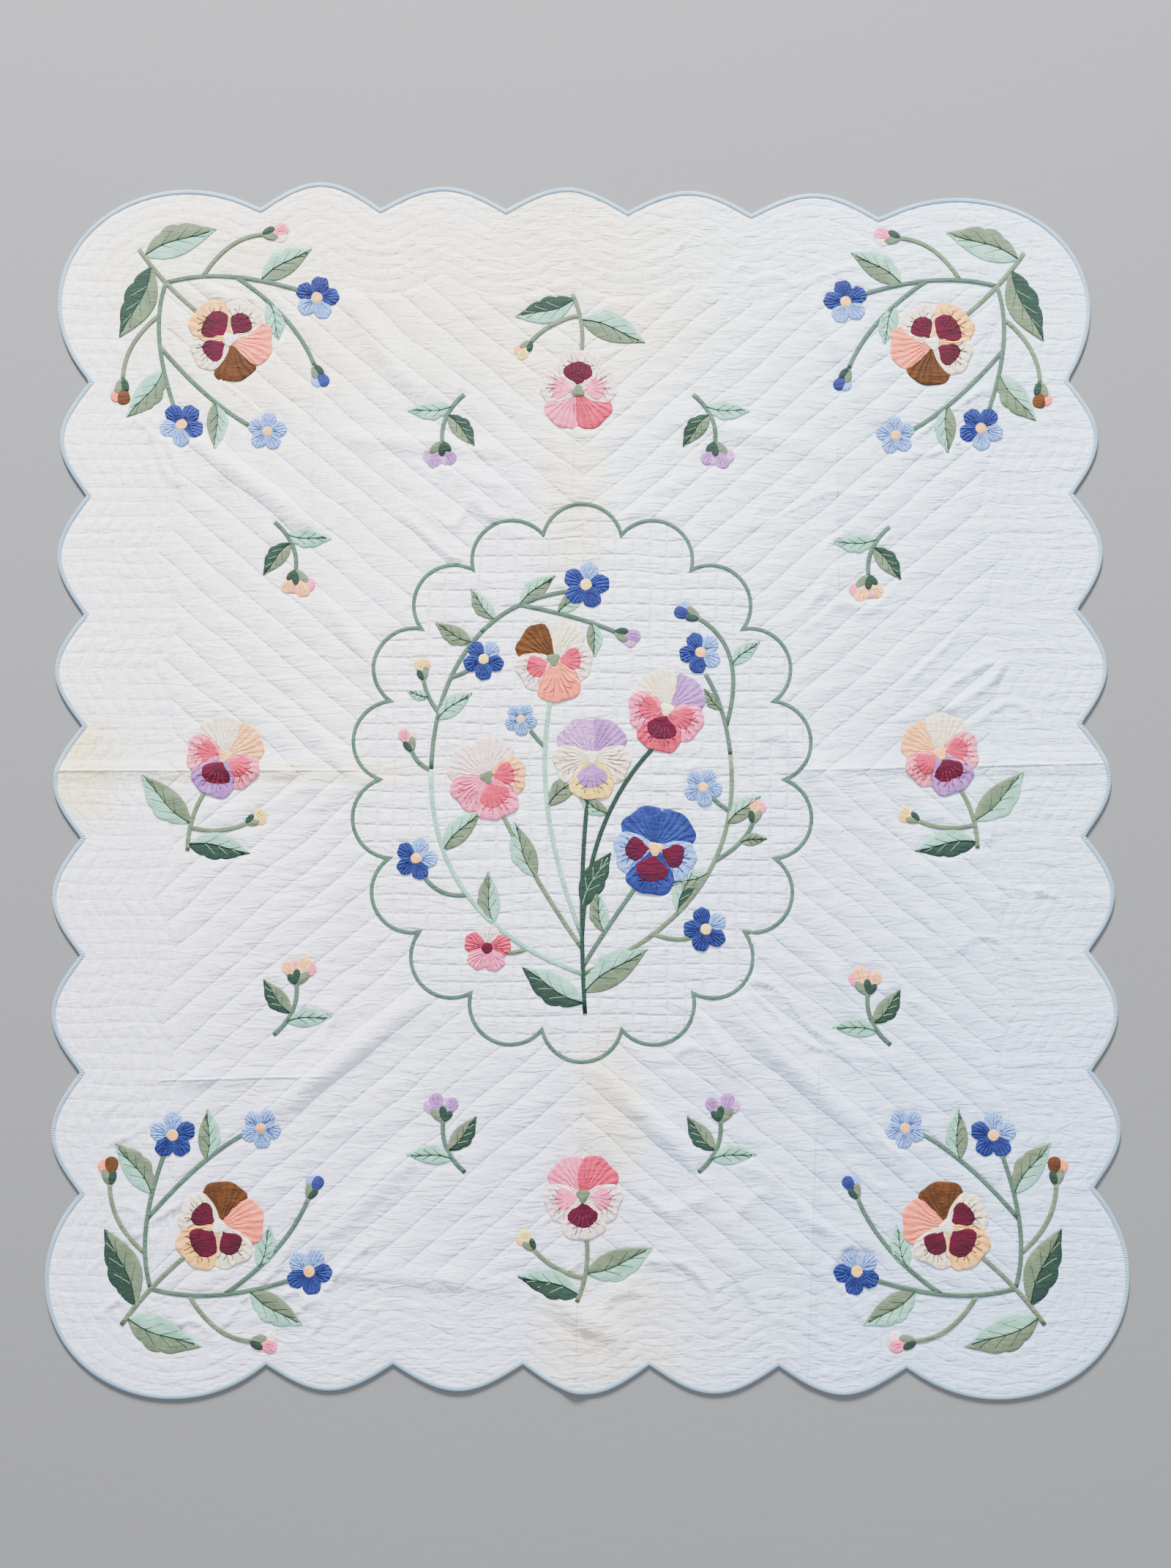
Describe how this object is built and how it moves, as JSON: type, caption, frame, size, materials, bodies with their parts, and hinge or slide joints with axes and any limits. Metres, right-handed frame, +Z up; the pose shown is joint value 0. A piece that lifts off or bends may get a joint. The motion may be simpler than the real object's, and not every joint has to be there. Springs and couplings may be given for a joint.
{
  "type": "applique quilt",
  "caption": "White bed quilt laid flat, with scalloped edge, pale blue binding, green scalloped ring and pansy, blue flower and leaf applique.",
  "frame": {"origin": "on the surface the quilt lies on, under the middle of its box", "axes": "+Y towards the head of the quilt along its length, +X to the right seen from above with the head up, +Z up out of its face"},
  "size_m": [2.1622, 2.4636, 0.0185],
  "materials": {
    "white_cotton": "washed white cotton, hand quilted, crinkled",
    "pale_blue_binding": "pale blue cotton binding",
    "green_tape": "green cotton bias tape",
    "green_prints": "cotton in several greens, turned under and sewn down",
    "pansy_prints": "plain and printed cotton petals with embroidered lines",
    "pink_print": "pink printed cotton",
    "light_blue_print": "light blue printed cotton",
    "royal_blue_print": "royal blue printed cotton"
  },
  "bodies": {
    "root": {"binding": "pale_blue_binding", "bouquet_blue_11": "royal_blue_print", "bouquet_blue_12": "royal_blue_print", "bouquet_blue_7": "royal_blue_print", "bouquet_blue_8": "royal_blue_print", "bouquet_blue_9": "royal_blue_print", "bouquet_greenery": "green_prints", "bouquet_pale_10": "light_blue_print", "bouquet_pale_13": "light_blue_print", "bouquet_pansy_1": "pansy_prints", "bouquet_pansy_2": "pansy_prints", "bouquet_pansy_3": "pansy_prints", "bouquet_pansy_4": "pansy_prints", "bouquet_pansy_5": "pansy_prints", "bouquet_pink_6": "pink_print", "quilt_body": "white_cotton", "ring_tape": "green_tape", "side_foot_greenery": "green_prints", "side_foot_pansy_1": "pansy_prints", "side_head_greenery": "green_prints", "side_head_pansy_1": "pansy_prints", "side_left_greenery": "green_prints", "side_left_pansy_1": "pansy_prints", "side_right_greenery": "green_prints", "side_right_pansy_1": "pansy_prints", "spray_foot_left_blue_2": "royal_blue_print", "spray_foot_left_blue_3": "royal_blue_print", "spray_foot_left_greenery": "green_prints", "spray_foot_left_pale_4": "light_blue_print", "spray_foot_left_pansy_1": "pansy_prints", "spray_foot_right_blue_2": "royal_blue_print", "spray_foot_right_blue_3": "royal_blue_print", "spray_foot_right_greenery": "green_prints", "spray_foot_right_pale_4": "light_blue_print", "spray_foot_right_pansy_1": "pansy_prints", "spray_head_left_blue_2": "royal_blue_print", "spray_head_left_blue_3": "royal_blue_print", "spray_head_left_greenery": "green_prints", "spray_head_left_pale_4": "light_blue_print", "spray_head_left_pansy_1": "pansy_prints", "spray_head_right_blue_2": "royal_blue_print", "spray_head_right_blue_3": "royal_blue_print", "spray_head_right_greenery": "green_prints", "spray_head_right_pale_4": "light_blue_print", "spray_head_right_pansy_1": "pansy_prints", "sprig_foot_left_greenery": "green_prints", "sprig_foot_right_greenery": "green_prints", "sprig_head_left_greenery": "green_prints", "sprig_head_right_greenery": "green_prints", "sprig_left_lower_greenery": "green_prints", "sprig_left_upper_greenery": "green_prints", "sprig_right_lower_greenery": "green_prints", "sprig_right_upper_greenery": "green_prints"}
  },
  "joints": []
}
